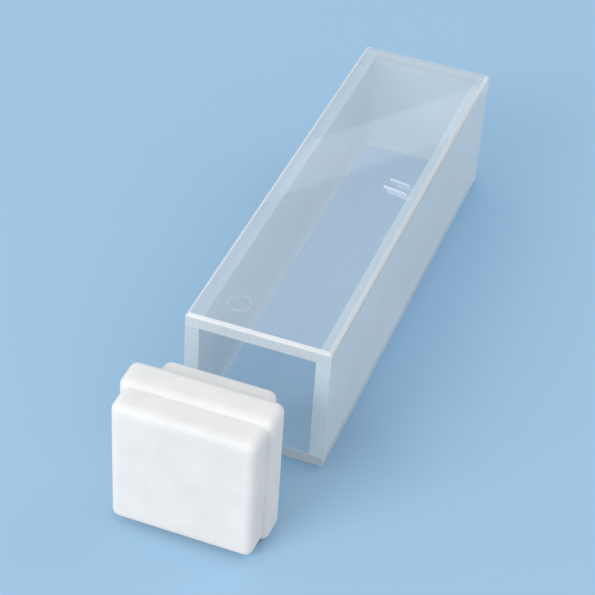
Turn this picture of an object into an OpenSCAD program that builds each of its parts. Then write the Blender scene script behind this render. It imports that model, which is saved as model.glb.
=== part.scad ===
// Ten-millimetre glass cell for a light beam, lying on its rear window, with its stopper lid set down
// on edge in front of the open mouth. X runs across the cell, +Y runs from the mouth to the closed
// end, and +Z runs along the light path from the rear window to the front window. The origin is the
// middle of the rear window's outer face.

/* [Cell] */
// Outside width, from one ground side to the other
cell_w = 12.5; // [10:0.5:25]
// Outside depth along the light path, from window to window
cell_h = 12.5; // [10:0.5:25]
// Length from the mouth to the closed end
cell_l = 45; // [20:1:60]
// Thickness of each polished window
window_t = 1.25; // [0.8:0.05:2]
// Thickness of each ground side wall
side_t = 1.25; // [0.8:0.05:2]
// Thickness of the base plate at the closed end
base_t = 1.25; // [0.8:0.05:3]
// Width of the ground safety bevel round each window's outer face
window_bevel = 0.25; // [0.1:0.05:0.4]

/* [Lid] */
// How far the flange stands out past the cell on each side
flange_overhang = 0.15; // [0:0.05:1]
// Thickness of the flange that closes the mouth
flange_t = 3; // [2:0.1:5]
// How far the grip is set in from the flange on each side
grip_inset = 0.4; // [0.2:0.05:1]
// Depth of the grip in front of the flange
grip_t = 2.4; // [1.6:0.1:5]
// Length of the plug that enters the mouth
plug_l = 2.8; // [2:0.1:8]
// Clearance between the plug and the cell's inner walls on each side
plug_clearance = 0.2; // [0.05:0.05:0.5]
// Corner and edge radius of the flange and the grip
head_round = 0.75; // [0.4:0.05:0.9]
// Corner and edge radius of the plug
plug_round = 0.8; // [0.4:0.05:0.9]

/* [Where the lid is set down] */
// Gap between the plug's tip and the mouth
lid_gap = 4; // [1:0.5:20]
// Sideways place of the lid from the cell's middle line
lid_shift = -1.3; // [-3:0.1:3]

/* [Hidden] */
$fn = 64;
inner_w = cell_w - 2 * side_t;       // width of the liquid space
path_l = cell_h - 2 * window_t;      // light path through the liquid space
mouth_y = -cell_l / 2;
flange_w = cell_w + 2 * flange_overhang;
flange_h = cell_h + 2 * flange_overhang;
grip_w = flange_w - 2 * grip_inset;
grip_h = flange_h - 2 * grip_inset;
plug_w = inner_w - 2 * plug_clearance;
plug_h = path_l - 2 * plug_clearance;
seat_y = mouth_y - lid_gap - plug_l; // flange face that meets the mouth when the lid is on

glass_colour = [0.80, 0.87, 0.93, 0.45];
ground_colour = [0.84, 0.89, 0.94];
lid_colour = [0.95, 0.96, 0.96];

// Half-octagon section of a plate that lies on z = 0 and is bevelled round its upper face
module bevelled_section(width) {
    half = width / 2;
    polygon([[-half, 0], [half, 0], [half, window_t - window_bevel], [half - window_bevel, window_t],
             [-half + window_bevel, window_t], [-half, window_t - window_bevel]]);
}

// One window with its inner face on z = 0 and its bevelled outer face upwards
module window() {
    intersection() {
        rotate([90, 0, 0]) linear_extrude(cell_l, center = true) bevelled_section(cell_w);
        rotate([90, 0, 90]) linear_extrude(cell_w, center = true) bevelled_section(cell_l);
    }
}

module front_window() {
    color(glass_colour) translate([0, 0, cell_h - window_t]) window();
}

module rear_window() {
    color(glass_colour) translate([0, 0, window_t]) rotate([180, 0, 0]) window();
}

// A ground wall between the windows, flush with their long edges; side is -1 or 1
module side_wall(side) {
    color(ground_colour)
        translate([side * (cell_w - side_t) / 2, 0, cell_h / 2])
            cube([side_t, cell_l, path_l], center = true);
}

module left_side_wall() {
    side_wall(-1);
}

module right_side_wall() {
    side_wall(1);
}

// The closed end, held between the windows and the side walls
module base_plate() {
    color(ground_colour)
        translate([0, (cell_l - base_t) / 2, cell_h / 2]) cube([inner_w, base_t, path_l], center = true);
}

// Rectangle with round corners, centred on the origin
module rounded_rectangle(width, height, radius) {
    square([width - 2 * radius, height], center = true);
    square([width, height - 2 * radius], center = true);
    for (x = [-1, 1], y = [-1, 1])
        translate([x * (width / 2 - radius), y * (height / 2 - radius)]) circle(radius);
}

// Block from z = 0 up to depth, rounded along all its edges
module rounded_block(width, height, depth, radius) {
    intersection() {
        linear_extrude(depth) rounded_rectangle(width, height, radius);
        translate([0, 0, depth / 2]) rotate([90, 0, 0])
            linear_extrude(height, center = true) rounded_rectangle(width, depth, radius);
        translate([0, 0, depth / 2]) rotate([90, 0, 90])
            linear_extrude(width, center = true) rounded_rectangle(height, depth, radius);
    }
}

// The lid with its grip down, its flange from z = 0 up to flange_t and its plug above that
module lid_upright() {
    rounded_block(flange_w, flange_h, flange_t, head_round);
    translate([0, 0, -grip_t])
        rounded_block(grip_w, grip_h, grip_t + flange_t / 2, head_round);
    translate([0, 0, flange_t / 2])
        rounded_block(plug_w, plug_h, plug_l + flange_t / 2, plug_round);
}

module lid() {
    color(lid_colour)
        translate([lid_shift, seat_y - flange_t, flange_h / 2]) rotate([-90, 0, 0]) lid_upright();
}

front_window();
rear_window();
left_side_wall();
right_side_wall();
base_plate();
lid();
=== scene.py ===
"""Looks of a small glass cuvette and its stopper lid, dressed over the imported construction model.

The cell lies on its rear window with its mouth towards -Y, and the lid stands on edge in front of the
mouth. Every glass plate and the lid are modelled again on the places of their construction nodes, with
the fine bevels and round edges that catch the light, and get procedural finishes. Lengths are in metres.
"""

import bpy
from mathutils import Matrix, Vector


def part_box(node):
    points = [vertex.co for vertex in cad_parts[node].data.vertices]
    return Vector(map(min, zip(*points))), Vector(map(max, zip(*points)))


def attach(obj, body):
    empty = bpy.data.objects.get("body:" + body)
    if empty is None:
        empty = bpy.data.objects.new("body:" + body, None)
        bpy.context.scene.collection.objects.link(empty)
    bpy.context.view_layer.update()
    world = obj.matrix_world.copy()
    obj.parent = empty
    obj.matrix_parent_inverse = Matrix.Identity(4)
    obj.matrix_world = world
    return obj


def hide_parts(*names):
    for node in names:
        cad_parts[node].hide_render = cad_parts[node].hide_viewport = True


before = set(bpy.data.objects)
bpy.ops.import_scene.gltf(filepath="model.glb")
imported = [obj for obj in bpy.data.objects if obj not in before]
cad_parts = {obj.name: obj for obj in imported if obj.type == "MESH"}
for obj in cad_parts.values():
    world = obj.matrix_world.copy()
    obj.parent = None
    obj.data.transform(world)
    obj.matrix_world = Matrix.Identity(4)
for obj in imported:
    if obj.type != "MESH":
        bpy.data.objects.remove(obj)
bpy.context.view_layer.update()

import logging
import math
from collections.abc import Callable
from dataclasses import dataclass, field
from enum import Enum, IntEnum

import bmesh
import bpy
from mathutils import Quaternion, Vector

Colour = tuple[float, float, float, float]
Point = tuple[float, float, float]
Span = tuple[float, float]

LOG = logging.getLogger("cuvette")
MM = 0.001
BODY = "root"
BACKDROP: Colour = (0.56, 0.735, 0.885, 1.0)

# Two places closer than this are one
SAME_PLACE = 1e-7
# A face is square to an axis when its normal lies along it by more than this
SQUARE_ON = 0.98
# Edges sharper than the first angle are broken, and those flatter than the second are shaded smooth
SHARP_ANGLE = math.radians(30)
SMOOTH_ANGLE = math.radians(46)
# Faces across a broken edge
BROKEN_EDGE_STEPS = 2
# How far large faces lead the shading of the small ones beside them, from 1 to 100
LARGE_FACES_LEAD = 100


class Slot(Enum):
    """The record's material slots, named for the plates; nothing in the script reads them."""

    POLISHED = "polished_glass"
    GROUND = "ground_glass"
    FLUOROPOLYMER = "white_fluoropolymer"


class Facing(Enum):
    """The way a plate's outer face looks."""

    LEFT = "-X"
    RIGHT = "+X"
    CLOSED_END = "+Y"
    DOWN = "-Z"
    UP = "+Z"


class WindowZone(IntEnum):
    """The zones of a window's surface, numbered as its materials are."""

    OPTICAL_FACE = 0
    SQUARE_EDGE = 1
    BEVEL = 2


# ---------------------------------------------------------------- shader maths


@dataclass(frozen=True)
class Pattern:
    """A noise pattern in a surface."""

    # The size of its blotches
    size: float
    # Octaves of finer detail
    detail: float = 2.0
    # How much longer the blotches are along each axis
    stretch: Point = (1.0, 1.0, 1.0)
    # The noise at which a blotch begins, and at which it is full
    blotches: Span = (0.3, 0.7)


class Signal:
    """A shader value that takes part in Python arithmetic, one Math node for each operator."""

    def __init__(self, sketch: "ShaderSketch", socket: bpy.types.NodeSocket) -> None:
        """Wraps a socket.

        Args:
            sketch: The node tree's builder.
            socket: The output socket that carries the value.
        """
        self.sketch = sketch
        self.socket = socket

    def math(self, operation: str, *others: "Signal | float",
             first: "Signal | float | None" = None) -> "Signal":
        """Adds a Math node.

        Args:
            operation: The Math node's operation.
            others: The second and third values.
            first: The first value, or None for this signal.

        Returns:
            The node's result.
        """
        values = [self if first is None else first, *others]
        return self.sketch.node("ShaderNodeMath", {"operation": operation}, dict(enumerate(values)))

    def __add__(self, other: "Signal | float") -> "Signal":
        """self + other"""
        return self.math("ADD", other)

    def __radd__(self, other: float) -> "Signal":
        """other + self"""
        return self.math("ADD", other)

    def __sub__(self, other: "Signal | float") -> "Signal":
        """self - other"""
        return self.math("SUBTRACT", other)

    def __rsub__(self, other: float) -> "Signal":
        """other - self"""
        return self.math("SUBTRACT", self, first=other)

    def __mul__(self, other: "Signal | float") -> "Signal":
        """self * other"""
        return self.math("MULTIPLY", other)

    def __rmul__(self, other: float) -> "Signal":
        """other * self"""
        return self.math("MULTIPLY", other)

    def __abs__(self) -> "Signal":
        """abs(self)"""
        return self.math("ABSOLUTE")

    def band(self, low: float, high: float) -> "Signal":
        """A smooth step from 0 at low to 1 at high, or the other way round when low is the larger.

        Args:
            low: The value that gives 0.
            high: The value that gives 1.

        Returns:
            The smooth step.
        """
        settings = {"interpolation_type": "SMOOTHSTEP", "clamp": True}
        inputs = {"Value": self, "From Min": low, "From Max": high}
        return self.sketch.node("ShaderNodeMapRange", settings, inputs)


def distance(across: Signal, along: Signal) -> Signal:
    """How far a point lies from a centre.

    Args:
        across: Its offset from the centre along one axis.
        along: Its offset along another axis.

    Returns:
        The distance.
    """
    return (across * across + along * along).math("SQRT")


class ShaderSketch:
    """Builds the node tree of one material or world."""

    # The numbers of the Mix node's colour sockets, which share their names with other sockets
    MIX_FACTOR, MIX_FIRST, MIX_SECOND, MIX_RESULT = 0, 6, 7, 2

    def __init__(self, tree: bpy.types.NodeTree, output: str) -> None:
        """Empties the tree and adds its output node.

        Args:
            tree: The node tree to fill.
            output: The type of the output node.
        """
        self.tree = tree
        tree.nodes.clear()
        self.output = tree.nodes.new(output)

    def node(self, kind: str, settings: dict | None = None, inputs: dict | None = None,
             result: int | str = 0) -> Signal:
        """Adds any node.

        Args:
            kind: The node's type.
            settings: Its properties, set first.
            inputs: Values or signals for its sockets, by name or number.
            result: The output socket to hand back.

        Returns:
            The chosen output.
        """
        made = self.tree.nodes.new(kind)
        for key, value in (settings or {}).items():
            setattr(made, key, value)
        for key, value in (inputs or {}).items():
            socket = made.inputs[key]
            if isinstance(value, Signal):
                self.tree.links.new(value.socket, socket)
            else:
                socket.default_value = value
        return Signal(self, made.outputs[result])

    def place(self) -> Signal:
        """Object coordinates, which are metres in the construction frame."""
        return self.node("ShaderNodeTexCoord", result="Object")

    def axes(self, vector: Signal) -> list[Signal]:
        """Splits a vector.

        Args:
            vector: The vector.

        Returns:
            Its x, y and z.
        """
        split = self.node("ShaderNodeSeparateXYZ", inputs={0: vector})
        return [Signal(self, output) for output in split.socket.node.outputs]

    def noise(self, pattern: Pattern) -> Signal:
        """Noise in Object coordinates.

        Args:
            pattern: The noise's size, detail and stretch.

        Returns:
            A value from 0 to 1, mostly near 0.5.
        """
        scale = [1 / (pattern.size * factor) for factor in pattern.stretch]
        vector = self.node("ShaderNodeMapping", {}, {"Vector": self.place(), "Scale": scale})
        inputs = {"Vector": vector, "Scale": 1.0, "Detail": pattern.detail}
        return self.node("ShaderNodeTexNoise", {}, inputs)

    def patches(self, pattern: Pattern) -> Signal:
        """The pattern's blotches, from 0 between them to 1 inside them."""
        return self.noise(pattern).band(*pattern.blotches)

    def bump(self, height: Signal, depth: float, strength: float) -> Signal:
        """Turns a height into a surface normal.

        Args:
            height: The height, from 0 to 1.
            depth: The relief from 0 to 1, in metres.
            strength: How strongly it shows.

        Returns:
            The normal.
        """
        inputs = {"Strength": strength, "Distance": depth, "Height": height}
        return self.node("ShaderNodeBump", {}, inputs)

    def blend(self, factor: Signal, first: Colour | Signal, second: Colour | Signal) -> Signal:
        """Mixes two colours.

        Args:
            factor: 0 for the first colour, 1 for the second.
            first: The first colour.
            second: The second colour.

        Returns:
            The mixed colour.
        """
        inputs = {self.MIX_FACTOR: factor, self.MIX_FIRST: first, self.MIX_SECOND: second}
        return self.node("ShaderNodeMix", {"data_type": "RGBA"}, inputs, result=self.MIX_RESULT)

    def mix(self, factor: Signal, first: Signal, second: Signal) -> Signal:
        """Mixes two shaders.

        Args:
            factor: 0 for the first shader, 1 for the second.
            first: The first shader.
            second: The second shader.

        Returns:
            The mixed shader.
        """
        return self.node("ShaderNodeMixShader", {}, {0: factor, 1: first, 2: second})

    def any_ray(self, *kinds: str) -> Signal:
        """Tells some kinds of ray from the rest.

        Args:
            kinds: The kinds, as the Light Path node names them.

        Returns:
            1 for a ray of any of these kinds, and 0 for the rest.
        """
        outputs = self.node("ShaderNodeLightPath").socket.node.outputs
        chosen, *others = (Signal(self, outputs[kind]) for kind in kinds)
        for other in others:
            chosen = chosen.math("MAXIMUM", other)
        return chosen

    def seen_directly(self) -> Signal:
        """1 for rays from the camera, reflections and glass, and 0 for rays that only gather light."""
        return self.any_ray("Is Camera Ray", "Is Glossy Ray", "Is Transmission Ray")

    def lets_lamps_through(self, shader: Signal, passed: Colour) -> Signal:
        """Lets lamps and diffuse light pass straight through one face of a glass plate.

        Args:
            shader: The face's shader, which every other kind of light meets.
            passed: The share of the light that passes.

        Returns:
            The two shaders mixed.
        """
        straight = self.any_ray("Is Shadow Ray", "Is Diffuse Ray")
        clear = self.node("ShaderNodeBsdfTransparent", {}, {"Color": passed})
        return self.mix(straight, shader, clear)

    def finish(self, shader: Signal) -> None:
        """Links the last shader to the output node.

        Args:
            shader: The shader.
        """
        self.tree.links.new(shader.socket, self.output.inputs["Surface"])


def new_material(name: str) -> tuple[bpy.types.Material, ShaderSketch]:
    """Makes an empty material.

    Args:
        name: The material's name.

    Returns:
        The material and the builder of its node tree.
    """
    material = bpy.data.materials.new(name)
    material.use_nodes = True
    return material, ShaderSketch(material.node_tree, "ShaderNodeOutputMaterial")


# -------------------------------------------------------------------- finishes


@dataclass(frozen=True)
class EtchedRing:
    """A plain ring etched faintly into the outer face of the front window."""

    centre: Span
    # The level above which it shows
    lowest: float
    radius: float = 0.95 * MM
    # How far its line reaches to each side, and how far it does so in full
    width: float = 0.2 * MM
    core: float = 0.04 * MM
    strength: float = 0.22
    frost: Colour = (0.86, 0.90, 0.93, 1.0)
    roughness: float = 0.6
    clearness: float = 0.35

    def etch(self, sketch: ShaderSketch, glass: Signal) -> Signal:
        """Mixes the ring into a window's shader.

        Args:
            sketch: The window's material builder.
            glass: The shader of the clear glass.

        Returns:
            The shader with the ring.
        """
        x, y, z = sketch.axes(sketch.place())
        from_line = abs(distance(x - self.centre[0], y - self.centre[1]) - self.radius)
        frost = sketch.node("ShaderNodeBsdfPrincipled", {}, {
            "Base Color": self.frost,
            "Roughness": self.roughness,
            "Transmission Weight": self.clearness,
        })
        outer_face = z.math("GREATER_THAN", self.lowest)
        line = from_line.band(self.width, self.core) * outer_face * self.strength
        return sketch.mix(line, glass, frost)


@dataclass(frozen=True)
class PolishedGlass:
    """Optically polished glass with a faint milky haze, and an etched ring if it is given one."""

    tint: Colour = (0.93, 0.965, 0.99, 1.0)
    wiped_tint: Colour = (0.90, 0.95, 0.98, 1.0)
    # The share of the light that isn't lost to the haze
    clearness: float = 0.885
    roughness: float = 0.004
    wiped_roughness: float = 0.010
    refraction: float = 1.46
    # The share of a lamp's light that passes through one face
    passed: Colour = (0.93, 0.95, 0.965, 1.0)
    streak: Pattern = Pattern(9 * MM, stretch=(1.0, 3.0, 1.0), blotches=(0.35, 0.75))
    ring: EtchedRing | None = None

    def make(self, name: str) -> bpy.types.Material:
        """Builds the material.

        Args:
            name: The material's name.

        Returns:
            The material.
        """
        material, sketch = new_material(name)
        wiped = sketch.patches(self.streak)
        glass = sketch.node("ShaderNodeBsdfPrincipled", {}, {
            "Base Color": sketch.blend(wiped, self.tint, self.wiped_tint),
            "Roughness": wiped * self.wiped_roughness + self.roughness,
            "IOR": self.refraction,
            "Transmission Weight": self.clearness,
        })
        if self.ring is not None:
            glass = self.ring.etch(sketch, glass)
        sketch.finish(sketch.lets_lamps_through(glass, self.passed))
        return material


@dataclass(frozen=True)
class GroundGlass:
    """Finely ground, milky glass that lets light through and hides what is behind it."""

    tint: Colour = (0.75, 0.87, 0.95, 1.0)
    pale: Colour = (0.80, 0.905, 0.97, 1.0)
    pits: Colour = (0.94, 0.985, 1.0, 1.0)
    # The share of the light that goes through and isn't thrown back
    clearness: float = 0.45
    roughness: float = 0.48
    pit_roughness: float = 0.12
    refraction: float = 1.46
    # The share of a lamp's light that passes through one face
    passed: Colour = (0.71, 0.77, 0.82, 1.0)
    cloud: Pattern = Pattern(5 * MM, detail=3.0)
    grain: Pattern = Pattern(0.16 * MM, blotches=(0.47, 0.66))
    lap_mark: Pattern = Pattern(0.12 * MM, stretch=(1.0, 9.0, 1.0), blotches=(0.5, 0.68))
    grain_whiteness: float = 0.5
    lap_whiteness: float = 0.4
    grain_relief: float = 0.6
    lap_relief: float = 0.4
    depth: float = 0.06 * MM
    bump_strength: float = 0.8

    def make(self, name: str) -> bpy.types.Material:
        """Builds the material.

        Args:
            name: The material's name.

        Returns:
            The material.
        """
        material, sketch = new_material(name)
        grain = sketch.noise(self.grain)
        lapping = sketch.noise(self.lap_mark)
        relief = grain * self.grain_relief + lapping * self.lap_relief
        body = sketch.blend(sketch.patches(self.cloud), self.tint, self.pale)
        pitted = grain.band(*self.grain.blotches) * self.grain_whiteness
        lapped = lapping.band(*self.lap_mark.blotches) * self.lap_whiteness
        glass = sketch.node("ShaderNodeBsdfPrincipled", {}, {
            "Base Color": sketch.blend(pitted + lapped, body, self.pits),
            "Roughness": grain * self.pit_roughness + self.roughness,
            "IOR": self.refraction,
            "Transmission Weight": self.clearness,
            "Normal": sketch.bump(relief, self.depth, self.bump_strength),
        })
        sketch.finish(sketch.lets_lamps_through(glass, self.passed))
        return material


@dataclass(frozen=True)
class WhiteFluoropolymer:
    """Waxy white plastic, slightly translucent, with faint cutter marks."""

    white: Colour = (0.875, 0.873, 0.865, 1.0)
    shade: Colour = (0.825, 0.825, 0.82, 1.0)
    roughness: float = 0.44
    grain_roughness: float = 0.1
    refraction: float = 1.36
    cloud: Pattern = Pattern(3 * MM, detail=3.0, blotches=(0.3, 0.75))
    grain: Pattern = Pattern(0.25 * MM, detail=3.0)
    cutter_mark: Pattern = Pattern(0.22 * MM, detail=1.0, stretch=(14.0, 1.0, 14.0))
    grain_relief: float = 0.5
    cutter_relief: float = 0.5
    depth: float = 0.04 * MM
    bump_strength: float = 0.18
    # How much of the light goes into the plastic, as strongly in red, green and blue, and how deep
    glow: float = 0.6
    glow_colour: Point = (1.0, 1.0, 1.0)
    glow_depth: float = 1.2 * MM

    def make(self, name: str) -> bpy.types.Material:
        """Builds the material.

        Args:
            name: The material's name.

        Returns:
            The material.
        """
        material, sketch = new_material(name)
        grain = sketch.noise(self.grain)
        relief = grain * self.grain_relief + sketch.noise(self.cutter_mark) * self.cutter_relief
        sketch.finish(sketch.node("ShaderNodeBsdfPrincipled", {}, {
            "Base Color": sketch.blend(sketch.patches(self.cloud), self.white, self.shade),
            "Roughness": grain * self.grain_roughness + self.roughness,
            "IOR": self.refraction,
            "Subsurface Weight": self.glow,
            "Subsurface Radius": self.glow_colour,
            "Subsurface Scale": self.glow_depth,
            "Normal": sketch.bump(relief, self.depth, self.bump_strength),
        }))
        return material


@dataclass(frozen=True)
class PaleTable:
    """Plain pale matt board for the floor, which fades into the backdrop far from the object."""

    colour: Colour = (0.38, 0.605, 0.82, 1.0)
    # What it is to rays that only gather light, nearly neutral so that it doesn't stain the white lid
    thrown_back: Colour = (0.57, 0.635, 0.705, 1.0)
    roughness: float = 0.7
    shine: float = 0.2
    # The distances from the origin at which the fade begins and ends
    fade: Span = (0.07, 0.50)

    def make(self, name: str) -> bpy.types.Material:
        """Builds the material.

        Args:
            name: The material's name.

        Returns:
            The material.
        """
        material, sketch = new_material(name)
        seen = sketch.seen_directly()
        board = sketch.node("ShaderNodeBsdfPrincipled", {}, {
            "Base Color": sketch.blend(seen, self.thrown_back, self.colour),
            "Roughness": self.roughness,
            "Specular IOR Level": self.shine,
        })
        x, y, _ = sketch.axes(sketch.place())
        faded = distance(x, y).band(*self.fade) * seen
        backdrop = sketch.node("ShaderNodeEmission", {}, {"Color": BACKDROP})
        sketch.finish(sketch.mix(faded, board, backdrop))
        return material


# ------------------------------------------------------------- modelling tools


def deselect_all() -> None:
    """Leaves edit mode and deselects every object."""
    if bpy.context.object is not None and bpy.context.object.mode != "OBJECT":
        bpy.ops.object.mode_set(mode="OBJECT")
    bpy.ops.object.select_all(action="DESELECT")


def select_only(piece: bpy.types.Object) -> None:
    """Makes one object the selected and active one.

    Args:
        piece: The object.
    """
    deselect_all()
    piece.select_set(True)
    bpy.context.view_layer.objects.active = piece


def add_block(name: str, low: Vector, high: Vector) -> bpy.types.Object:
    """Adds a box between two corners, with its object at the origin.

    Args:
        name: The piece's name.
        low: Lowest corner.
        high: Highest corner.

    Returns:
        The new object, selected and active.
    """
    deselect_all()
    bpy.ops.mesh.primitive_cube_add(size=1.0, location=(low + high) / 2, scale=high - low)
    block = bpy.context.object
    block.name = block.data.name = name
    bpy.ops.object.transform_apply(location=True, rotation=True, scale=True)
    return block


def bevel_edges(wanted: Callable[[list[Vector]], bool], width: float, steps: int) -> None:
    """Bevels some edges of the active object.

    Args:
        wanted: Takes the two ends of an edge and says whether it is bevelled.
        width: Width of the bevel on each side of the edge.
        steps: Faces across the bevel.
    """
    bpy.ops.object.mode_set(mode="EDIT")
    bpy.ops.mesh.select_mode(type="EDGE")
    bpy.ops.mesh.select_all(action="DESELECT")
    mesh = bmesh.from_edit_mesh(bpy.context.object.data)
    for edge in mesh.edges:
        if wanted([vertex.co for vertex in edge.verts]):
            edge.select_set(True)
    mesh.select_flush_mode()
    bmesh.update_edit_mesh(bpy.context.object.data)
    bpy.ops.mesh.bevel(offset=width, segments=steps, profile=0.5, offset_type="OFFSET")
    bpy.ops.object.mode_set(mode="OBJECT")


def soften_edges(piece: bpy.types.Object, width: float) -> None:
    """Breaks every sharp edge with an applied Bevel modifier, and shades the piece.

    Args:
        piece: The piece.
        width: Width of the broken edge.
    """
    select_only(piece)
    bevel = piece.modifiers.new("broken_edges", "BEVEL")
    bevel.width = width
    bevel.segments = BROKEN_EDGE_STEPS
    bevel.limit_method = "ANGLE"
    bevel.angle_limit = SHARP_ANGLE
    bpy.ops.object.modifier_apply(modifier=bevel.name)
    shade_smooth(piece)


def shade_smooth(piece: bpy.types.Object) -> None:
    """Shades the round edges smooth while the flat faces stay flat.

    Args:
        piece: The piece.
    """
    select_only(piece)
    bpy.ops.object.shade_smooth_by_angle(angle=SMOOTH_ANGLE)
    weigh = piece.modifiers.new("flat_faces_lead", "WEIGHTED_NORMAL")
    weigh.mode = "FACE_AREA"
    weigh.weight = LARGE_FACES_LEAD
    weigh.keep_sharp = True
    bpy.ops.object.modifier_apply(modifier=weigh.name)


def hand_over(piece: bpy.types.Object, node: str) -> None:
    """Hangs a piece on the body's empty in its construction node's place, and hides the node.

    Args:
        piece: The modelled piece.
        node: The construction node that it stands for.
    """
    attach(piece, BODY)
    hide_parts(node)


# --------------------------------------------------------------- sub-assemblies


@dataclass(frozen=True)
class GlassPlate:
    """One flat plate of the fused cell."""

    name: str
    node: str
    facing: Facing
    # How far a plate is drawn in where it is fused to another, so that no two faces share a plane
    seam: float = 0.01 * MM
    broken_edge: float = 0.04 * MM

    def corners(self) -> tuple[Vector, Vector]:
        """The lowest and highest corners of the plate's construction node."""
        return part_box(self.node)

    def complete(self, piece: bpy.types.Object, slot: Slot, *materials: bpy.types.Material) -> None:
        """Breaks the edges, gives the piece its materials and hands it over.

        Args:
            piece: The modelled plate.
            slot: The record's material slot. Not used.
            materials: The piece's materials, in the order of its faces' numbers.
        """
        soften_edges(piece, self.broken_edge)
        for material in materials:
            piece.data.materials.append(material)
        hand_over(piece, self.node)


@dataclass(frozen=True)
class Window(GlassPlate):
    """A polished plate with a ground safety bevel round its outer face and ground edges."""

    bevel: float = 0.25 * MM

    def corners(self) -> tuple[Vector, Vector]:
        """Draws the plate's inner face in by a seam.

        Returns:
            The lowest and highest corners.
        """
        low, high = super().corners()
        if self.facing is Facing.UP:
            low.z += self.seam
        else:
            high.z -= self.seam
        return low, high

    def build(self, polished: bpy.types.Material, lapped: bpy.types.Material,
              bevelled: bpy.types.Material) -> bpy.types.Object:
        """Models and dresses the window.

        Args:
            polished: Finish of the two optical faces.
            lapped: Finish of the square edges.
            bevelled: Finish of the safety bevel and the broken edges.

        Returns:
            The window.
        """
        low, high = self.corners()
        outer = high.z if self.facing is Facing.UP else low.z
        piece = add_block(self.name, low, high)
        bevel_edges(lambda ends: all(abs(end.z - outer) < SAME_PLACE for end in ends), self.bevel, 1)
        self.complete(piece, Slot.POLISHED, polished, lapped, bevelled)
        for face in piece.data.polygons:
            face.material_index = self._zone(face.normal)
        return piece

    @staticmethod
    def _zone(normal: Vector) -> WindowZone:
        """Finds the zone that a face belongs to.

        Args:
            normal: The face's normal.

        Returns:
            The zone.
        """
        if abs(normal.z) > SQUARE_ON:
            return WindowZone.OPTICAL_FACE
        if max(abs(normal.x), abs(normal.y)) > SQUARE_ON:
            return WindowZone.SQUARE_EDGE
        return WindowZone.BEVEL


@dataclass(frozen=True)
class GroundPlate(GlassPlate):
    """A side wall or the base plate, ground all over."""

    def corners(self) -> tuple[Vector, Vector]:
        """Draws the plate in by a seam where it meets its neighbours.

        Returns:
            The lowest and highest corners.
        """
        low, high = super().corners()
        low.z += self.seam
        high.z -= self.seam
        if self.facing is Facing.CLOSED_END:
            low.x += self.seam
            high.x -= self.seam
        return low, high

    def build(self, ground: bpy.types.Material) -> bpy.types.Object:
        """Models and dresses the plate.

        Args:
            ground: Finish of the plate.

        Returns:
            The plate.
        """
        piece = add_block(self.name, *self.corners())
        self.complete(piece, Slot.GROUND, ground)
        return piece


@dataclass(frozen=True)
class Cell:
    """The fused glass cell: two windows, two side walls and a base plate."""

    front: Window = Window("window_front", "front_window", Facing.UP)
    rear: Window = Window("window_rear", "rear_window", Facing.DOWN)
    walls: tuple[GroundPlate, ...] = (
        GroundPlate("wall_left", "left_side_wall", Facing.LEFT),
        GroundPlate("wall_right", "right_side_wall", Facing.RIGHT),
    )
    base: GroundPlate = GroundPlate("base_end", "base_plate", Facing.CLOSED_END)
    ring_from_side: float = 3.5 * MM
    ring_from_mouth: float = 3.0 * MM
    ground: GroundGlass = GroundGlass()
    # The base plate's: the same ground glass, painted a little greyer than the side walls' as painted
    # shade on the closed end
    base_ground_painted_shade: GroundGlass = GroundGlass(
        tint=(0.71, 0.79, 0.845, 1.0), pale=(0.76, 0.83, 0.875, 1.0), pits=(0.90, 0.92, 0.935, 1.0))
    lapped: GroundGlass = GroundGlass(
        tint=(0.73, 0.83, 0.91, 1.0), pale=(0.79, 0.875, 0.945, 1.0), clearness=0.35, roughness=0.42)
    bevelled: GroundGlass = GroundGlass(
        tint=(0.93, 0.95, 0.97, 1.0), pale=(0.90, 0.935, 0.965, 1.0), clearness=0.3, roughness=0.18)
    resting: PolishedGlass = PolishedGlass(
        roughness=0.03, wiped_roughness=0.03, passed=(0.87, 0.91, 0.94, 1.0))

    def build(self) -> list[bpy.types.Object]:
        """Models and dresses all five plates.

        Returns:
            The plates.
        """
        ground = self.ground.make("ground_glass")
        lapped = self.lapped.make("lapped_edge")
        bevelled = self.bevelled.make("bevel")
        marked = PolishedGlass(ring=self._ring()).make("polished_glass_marked")
        front = self.front.build(marked, lapped, bevelled)
        rear = self.rear.build(self.resting.make("polished_glass"), lapped, bevelled)
        walls = [wall.build(ground) for wall in self.walls]
        # The base plate takes the greyer copy of the ground glass, which is painted shade
        base = self.base.build(self.base_ground_painted_shade.make("ground_glass_base_painted_shade"))
        return [front, rear, *walls, base]

    def _ring(self) -> EtchedRing:
        """Places the ring near the mouth's left corner, on the front window's outer face only.

        Returns:
            The ring.
        """
        low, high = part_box(self.front.node)
        centre = (low.x + self.ring_from_side, low.y + self.ring_from_mouth)
        return EtchedRing(centre, lowest=high.z - self.front.bevel)


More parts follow.
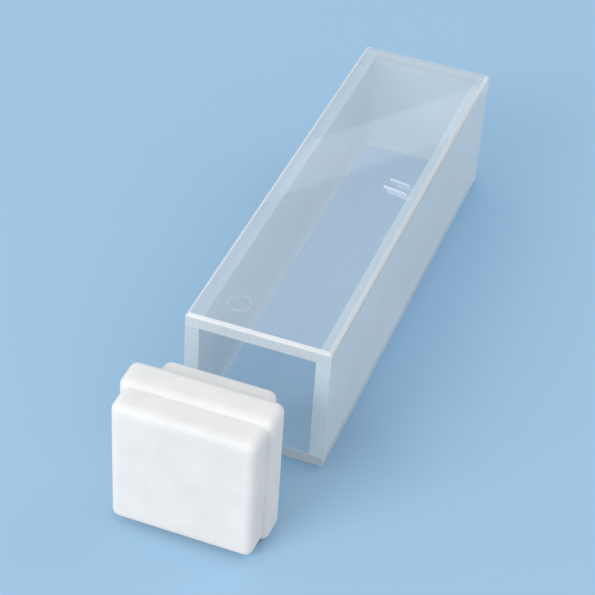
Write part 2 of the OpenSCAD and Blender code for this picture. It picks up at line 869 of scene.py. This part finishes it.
@dataclass(frozen=True)
class Lid:
    """The stopper lid on its edge: a grip towards the viewer, a flange, and a plug towards the mouth."""

    name: str = "stopper_lid"
    node: str = "lid"
    flange_t: float = 3.0 * MM
    grip_t: float = 2.4 * MM
    grip_inset: float = 0.4 * MM
    plug_inset: float = 1.6 * MM
    head_round: float = 0.75 * MM
    plug_round: float = 0.8 * MM
    # Faces across a round edge
    round_steps: int = 10
    # How far the grip and the plug reach into the flange, past its round edges
    overlap: float = 1.4 * MM

    def build(self) -> bpy.types.Object:
        """Models the three tiers, joins them into one solid and dresses it.

        Returns:
            The lid.
        """
        low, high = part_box(self.node)
        step_y = low.y + self.grip_t
        seat_y = step_y + self.flange_t
        grip_span = (low.y, step_y + self.overlap)
        plug_span = (seat_y - self.overlap, high.y)
        piece = self._tier(self.name, (step_y, seat_y), 0.0, self.head_round)
        grip = self._tier("grip", grip_span, self.grip_inset, self.head_round)
        plug = self._tier("plug", plug_span, self.plug_inset, self.plug_round)
        for tier in (grip, plug):
            self._join(piece, tier)
        shade_smooth(piece)
        piece.data.materials.append(WhiteFluoropolymer().make("white_fluoropolymer"))
        hand_over(piece, self.node)
        return piece

    def _tier(self, name: str, span: Span, inset: float, radius: float) -> bpy.types.Object:
        """Models one tier as a block with round edges.

        Args:
            name: The tier's name.
            span: Where the tier begins and ends along Y.
            inset: How far it is set in from the flange's sides.
            radius: Radius of its edges.

        Returns:
            The tier.
        """
        low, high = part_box(self.node)
        start = Vector((low.x + inset, span[0], low.z + inset))
        end = Vector((high.x - inset, span[1], high.z - inset))
        tier = add_block(name, start, end)
        bevel_edges(lambda ends: True, radius, self.round_steps)
        return tier

    @staticmethod
    def _join(piece: bpy.types.Object, tier: bpy.types.Object) -> None:
        """Joins a tier to the lid as one solid, and removes the tier's own object.

        Args:
            piece: The lid so far.
            tier: The tier to add.
        """
        select_only(piece)
        join = piece.modifiers.new("join", "BOOLEAN")
        join.operation = "UNION"
        join.object = tier
        join.solver = "EXACT"
        bpy.ops.object.modifier_apply(modifier=join.name)
        select_only(tier)
        bpy.ops.object.delete()


# ----------------------------------------------------------------------- studio


def point_at(holder: bpy.types.Object, place: Vector, target: Vector, roll: float) -> None:
    """Puts a lamp or the camera in the scene, looking at a point.

    Args:
        holder: The lamp's or camera's new object.
        place: Where it goes.
        target: The point that it looks at.
        roll: Its turn about its own line of sight, in degrees.
    """
    holder.location = place
    holder.rotation_mode = "QUATERNION"
    look = (target - place).to_track_quat("-Z", "Y")
    holder.rotation_quaternion = look @ Quaternion((0, 0, 1), math.radians(roll))
    bpy.context.scene.collection.objects.link(holder)


@dataclass(frozen=True)
class Lamp:
    """A rectangular soft lamp."""

    name: str
    size: Span
    watts: float
    roll: float = 0.0

    def hang(self, place: Vector, target: Vector) -> None:
        """Hangs the lamp.

        Args:
            place: Where it hangs.
            target: The point that it looks at.
        """
        lamp = bpy.data.lights.new(self.name, "AREA")
        lamp.shape = "RECTANGLE"
        lamp.size, lamp.size_y = self.size
        lamp.energy = self.watts
        point_at(bpy.data.objects.new(self.name, lamp), place, target, self.roll)


@dataclass(frozen=True)
class Softbox(Lamp):
    """A large lamp that lights the object."""

    place: Point = field(kw_only=True)


@dataclass(frozen=True)
class Gleam(Lamp):
    """A slim faint lamp that the camera sees mirrored at a spot on the front window."""

    spot: Span = field(kw_only=True)


@dataclass(frozen=True)
class Studio:
    """Floor, backdrop, soft lamps and the camera."""

    floor_half: float = 2.0
    # How far the floor lies under the cell, so that no two faces share a plane
    floor_drop: float = 0.02 * MM
    dome_colour: Colour = (0.985, 0.99, 1.0, 1.0)
    dome_strength: float = 0.67
    eye: Point = (37.9 * MM, -128.9 * MM, 108.0 * MM)
    aim: Point = (-1.9 * MM, -7.2 * MM, 4.2 * MM)
    roll: float = 3.9
    lens: float = 113.0
    near_clip: float = 10 * MM
    softboxes: tuple[Softbox, ...] = (
        Softbox("key_softbox", (0.26, 0.26), 1.35, place=(-0.20, -0.44, 0.28)),
        Softbox("back_softbox", (0.26, 0.26), 0.26, place=(0.26, 0.26, 0.36)),
    )
    gleams: tuple[Gleam, ...] = (
        Gleam("gleam_band", (0.40, 0.014), 0.009, 24.0, spot=(1.1 * MM, 8.7 * MM)),
        Gleam("gleam_far", (7.0 * MM, 0.8 * MM), 0.00006, -13.0, spot=(4.0 * MM, 1.85 * MM)),
        Gleam("gleam_near", (8.0 * MM, 0.9 * MM), 0.00009, -15.0, spot=(3.95 * MM, 0.55 * MM)),
    )
    # The construction node that mirrors the gleams, and how far from it they hang
    mirror: str = "front_window"
    gleam_reach: float = 0.45

    def build(self) -> None:
        """Sets up everything that isn't the object."""
        self._floor()
        self._world()
        for softbox in self.softboxes:
            softbox.hang(Vector(softbox.place), Vector())
        for gleam in self.gleams:
            self._mirror(gleam)
        self._camera()

    def _floor(self) -> None:
        """Lays the floor."""
        deselect_all()
        bpy.ops.mesh.primitive_plane_add(size=2 * self.floor_half, location=(0, 0, -self.floor_drop))
        floor = bpy.context.object
        floor.name = "table_top"
        bpy.ops.object.transform_apply(location=True, rotation=True, scale=True)
        floor.data.materials.append(PaleTable().make("pale_table"))

    def _world(self) -> None:
        """Surrounds the scene with a soft pale dome, which is seen as the backdrop."""
        world = bpy.data.worlds.new("pale_dome")
        world.use_nodes = True
        bpy.context.scene.world = world
        sketch = ShaderSketch(world.node_tree, "ShaderNodeOutputWorld")
        light = {"Color": self.dome_colour, "Strength": self.dome_strength}
        lit = sketch.node("ShaderNodeBackground", {}, light)
        shown = sketch.node("ShaderNodeBackground", {}, {"Color": BACKDROP, "Strength": 1.0})
        sketch.finish(sketch.mix(sketch.seen_directly(), lit, shown))

    def _mirror(self, gleam: Gleam) -> None:
        """Hangs a gleam's lamp on the camera's line of sight, mirrored in the front window.

        Args:
            gleam: The lamp and its spot.
        """
        _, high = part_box(self.mirror)
        spot = Vector((*gleam.spot, high.z))
        sight = (spot - Vector(self.eye)).normalized()
        mirrored = Vector((sight.x, sight.y, -sight.z))
        gleam.hang(spot + mirrored * self.gleam_reach, spot)

    def _camera(self) -> None:
        """Puts the camera in front of the mouth, above and to the right."""
        camera = bpy.data.cameras.new("camera")
        camera.lens = self.lens
        camera.clip_start = self.near_clip
        holder = bpy.data.objects.new("camera", camera)
        point_at(holder, Vector(self.eye), Vector(self.aim), self.roll)
        bpy.context.scene.camera = holder
        bpy.context.scene.view_settings.view_transform = "Standard"


def main() -> None:
    """Builds the cell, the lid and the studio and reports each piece."""
    logging.basicConfig(level=logging.INFO, format="%(name)s %(message)s")
    pieces = [*Cell().build(), Lid().build()]
    Studio().build()
    for piece in pieces:
        LOG.info("%s: %d faces", piece.name, len(piece.data.polygons))
    deselect_all()


if __name__ == "__main__":
    main()
